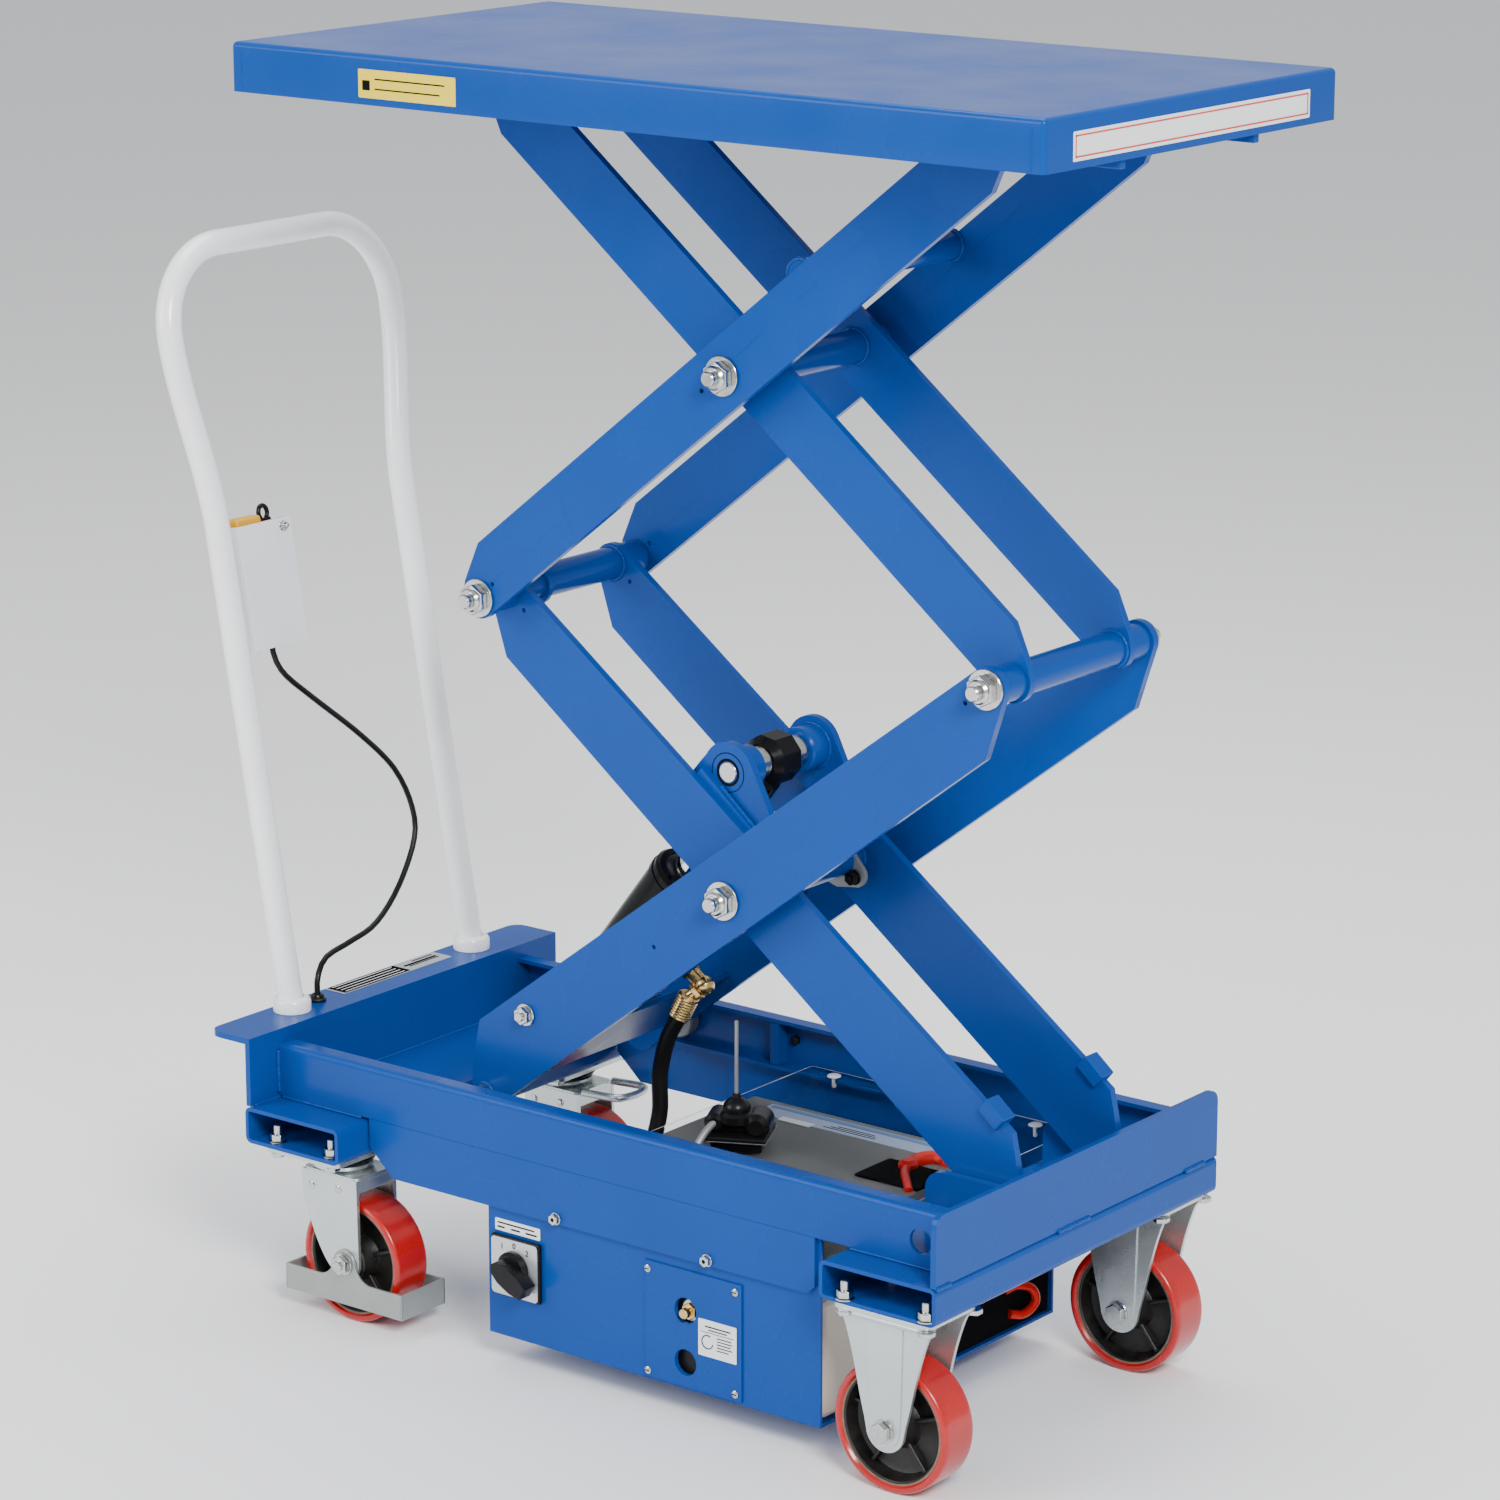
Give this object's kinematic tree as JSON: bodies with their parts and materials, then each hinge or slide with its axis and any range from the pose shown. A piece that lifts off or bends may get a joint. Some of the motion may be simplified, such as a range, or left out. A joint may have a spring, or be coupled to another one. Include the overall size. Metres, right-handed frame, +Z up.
{
  "type": "scissor lift table",
  "caption": "Battery-powered double scissor lift table on casters, with a steel platform, hydraulic cylinder, push handle and pendant control.",
  "frame": {"origin": "on the floor under the middle of the table's overall box", "axes": "+X towards the fixed casters, -X towards the push handle; +Z up; the table is symmetric about y = 0 apart from its fittings"},
  "size_m": [1.098, 0.466, 1.2506],
  "materials": {
    "blue_paint": "gloss powder coat",
    "white_paint": "gloss powder coat",
    "pale_paint": "satin paint",
    "zinc_plate": "bright zinc plate",
    "grey_steel": "plain zinc plate",
    "chrome": "hard chrome",
    "black_paint": "satin paint",
    "black_plastic": "moulded",
    "black_rubber": "smooth rubber",
    "black_iron": "painted casting",
    "red_polyurethane": "semi-gloss polyurethane",
    "brass": "turned",
    "yellow_plastic": "moulded",
    "beige_plastic": "moulded",
    "grey_plastic": "moulded",
    "clear_plastic": "clear polycarbonate sheet"
  },
  "bodies": {
    "base": {"side_beam_near": "blue_paint", "side_beam_far": "blue_paint", "side_skirt_near": "blue_paint", "side_skirt_far": "blue_paint", "base_bracket_near": "blue_paint", "base_bracket_far": "blue_paint", "swivel_cross_tube": "blue_paint", "fixed_cross_tube": "blue_paint", "handle_end_plate": "blue_paint", "front_end_plate": "blue_paint", "power_box": "blue_paint", "access_panel": "blue_paint", "oil_fitting": "brass", "isolator_plate": "black_plastic", "battery": "grey_plastic", "hydraulic_tank": "beige_plastic", "pump_motor": "black_paint", "well_cover": "clear_plastic", "limit_switch": "black_plastic", "handle": "white_paint", "pendant_holder": "pale_paint", "pendant_cord": "black_rubber", "cord_grommet": "black_rubber", "swivel_plate_near": "zinc_plate", "swivel_plate_far": "zinc_plate", "fixed_fork_near": "zinc_plate", "fixed_fork_far": "zinc_plate", "hydraulic_hose": "black_rubber"},
    "isolator": {"isolator_knob": "black_plastic"},
    "pendant": {"pendant": "yellow_plastic"},
    "up_button": {"up_button": "black_plastic"},
    "down_button": {"down_button": "black_plastic"},
    "lower_inner": {"lower_inner_arms": "blue_paint"},
    "lower_outer": {"lower_outer_arms": "blue_paint"},
    "upper_outer": {"upper_outer_arms": "blue_paint"},
    "upper_inner": {"upper_inner_arms": "blue_paint"},
    "platform": {"platform": "blue_paint", "platform_bracket_near": "blue_paint", "platform_bracket_far": "blue_paint", "platform_rail_near": "blue_paint", "platform_rail_far": "blue_paint"},
    "barrel": {"cylinder_barrel": "black_paint"},
    "rod": {"cylinder_rod": "chrome"},
    "brake": {"brake_lever": "zinc_plate"},
    "swivel_near": {"swivel_fork_near": "zinc_plate", "toe_guard_near": "grey_steel"},
    "swivel_wheel_near": {"swivel_core_near": "black_iron", "swivel_tyre_near": "red_polyurethane"},
    "fixed_wheel_near": {"fixed_core_near": "black_iron", "fixed_tyre_near": "red_polyurethane"},
    "lower_roller_near": {"lower_roller_near": "grey_steel"},
    "upper_roller_near": {"upper_roller_near": "grey_steel"},
    "swivel_far": {"swivel_fork_far": "zinc_plate", "toe_guard_far": "grey_steel"},
    "swivel_wheel_far": {"swivel_core_far": "black_iron", "swivel_tyre_far": "red_polyurethane"},
    "fixed_wheel_far": {"fixed_core_far": "black_iron", "fixed_tyre_far": "red_polyurethane"},
    "lower_roller_far": {"lower_roller_far": "grey_steel"},
    "upper_roller_far": {"upper_roller_far": "grey_steel"}
  },
  "joints": [
    {"name": "lift", "type": "hinge", "parent": "base", "child": "lower_inner", "pos_m": [0.423, 0, 0.2435], "axis": [0, 1, 0], "range_deg": [-33.15, 0], "deforming": ["hydraulic_hose"]},
    {"name": "lower_centre_pivot", "type": "hinge", "parent": "lower_inner", "child": "lower_outer", "pos_m": [0.13011, 0, 0.48796], "axis": [0, 1, 0], "range_deg": [0, 66.5]},
    {"name": "mid_pivot", "type": "hinge", "parent": "lower_inner", "child": "upper_outer", "pos_m": [-0.16277, 0, 0.73242], "axis": [0, 1, 0], "range_deg": [0, 66.5]},
    {"name": "upper_centre_pivot", "type": "hinge", "parent": "upper_outer", "child": "upper_inner", "pos_m": [0.13011, 0, 0.97687], "axis": [0, 1, 0], "range_deg": [-66.5, 0]},
    {"name": "platform_pivot", "type": "hinge", "parent": "upper_outer", "child": "platform", "pos_m": [0.423, 0, 1.22133], "axis": [0, 1, 0], "range_deg": [-33.3, 0]},
    {"name": "cylinder_tilt", "type": "hinge", "parent": "lower_outer", "child": "barrel", "pos_m": [-0.11048, 0, 0.33144], "axis": [0, 1, 0], "range_deg": [-1.1, 0]},
    {"name": "cylinder_stroke", "type": "slide", "parent": "barrel", "child": "rod", "axis": [0.616, 0, 0.7878], "range_m": [-0.122, 0]},
    {"name": "isolator_turn", "type": "hinge", "parent": "base", "child": "isolator", "pos_m": [-0.067, -0.1923, 0.104], "axis": [0, 1, 0], "range_deg": [0, 120]},
    {"name": "pendant_lift", "type": "slide", "parent": "base", "child": "pendant", "axis": [-0.1753, 0, 0.9845], "range_m": [0, 0.09]},
    {"name": "up_press", "type": "slide", "parent": "pendant", "child": "up_button", "axis": [-0.9845, 0, -0.1753], "range_m": [0, 0.0018], "stiffness_N_per_m": 400},
    {"name": "down_press", "type": "slide", "parent": "pendant", "child": "down_button", "axis": [-0.9845, 0, -0.1753], "range_m": [0, 0.0018], "stiffness_N_per_m": 400},
    {"name": "swivel_turn_near", "type": "hinge", "parent": "base", "child": "swivel_near", "pos_m": [-0.3085, -0.168, 0.15], "axis": [0, 0, 1], "continuous": true},
    {"name": "swivel_roll_near", "type": "hinge", "parent": "swivel_near", "child": "swivel_wheel_near", "pos_m": [-0.281, -0.168, 0.0627], "axis": [0, 1, 0], "continuous": true},
    {"name": "fixed_roll_near", "type": "hinge", "parent": "base", "child": "fixed_wheel_near", "pos_m": [0.3888, -0.1876, 0.0627], "axis": [0, 1, 0], "continuous": true},
    {"name": "lower_roller_turn_near", "type": "hinge", "parent": "lower_outer", "child": "lower_roller_near", "pos_m": [-0.16277, -0.179, 0.2435], "axis": [0, 1, 0], "continuous": true},
    {"name": "upper_roller_turn_near", "type": "hinge", "parent": "upper_inner", "child": "upper_roller_near", "pos_m": [-0.16277, -0.096, 1.22133], "axis": [0, 1, 0], "continuous": true},
    {"name": "swivel_turn_far", "type": "hinge", "parent": "base", "child": "swivel_far", "pos_m": [-0.3085, 0.168, 0.15], "axis": [0, 0, 1], "continuous": true},
    {"name": "swivel_roll_far", "type": "hinge", "parent": "swivel_far", "child": "swivel_wheel_far", "pos_m": [-0.281, 0.168, 0.0627], "axis": [0, 1, 0], "continuous": true},
    {"name": "fixed_roll_far", "type": "hinge", "parent": "base", "child": "fixed_wheel_far", "pos_m": [0.3888, 0.1876, 0.0627], "axis": [0, 1, 0], "continuous": true},
    {"name": "lower_roller_turn_far", "type": "hinge", "parent": "lower_outer", "child": "lower_roller_far", "pos_m": [-0.16277, 0.179, 0.2435], "axis": [0, 1, 0], "continuous": true},
    {"name": "upper_roller_turn_far", "type": "hinge", "parent": "upper_inner", "child": "upper_roller_far", "pos_m": [-0.16277, 0.096, 1.22133], "axis": [0, 1, 0], "continuous": true},
    {"name": "brake_press", "type": "hinge", "parent": "swivel_far", "child": "brake", "pos_m": [-0.262, 0.168, 0.152], "axis": [0, 1, 0], "range_deg": [0, 10]}
  ],
  "couplings": [
    {"joint": "lower_centre_pivot", "follows": "lift", "ratio": -2},
    {"joint": "mid_pivot", "follows": "lift", "ratio": -2},
    {"joint": "upper_centre_pivot", "follows": "lift", "ratio": 2},
    {"joint": "platform_pivot", "follows": "lift", "ratio": 1},
    {"joint": "cylinder_tilt", "follows": "lift", "ratio": 0.03},
    {"joint": "cylinder_stroke", "follows": "lift", "m_per_rad": 0.21}
  ]
}
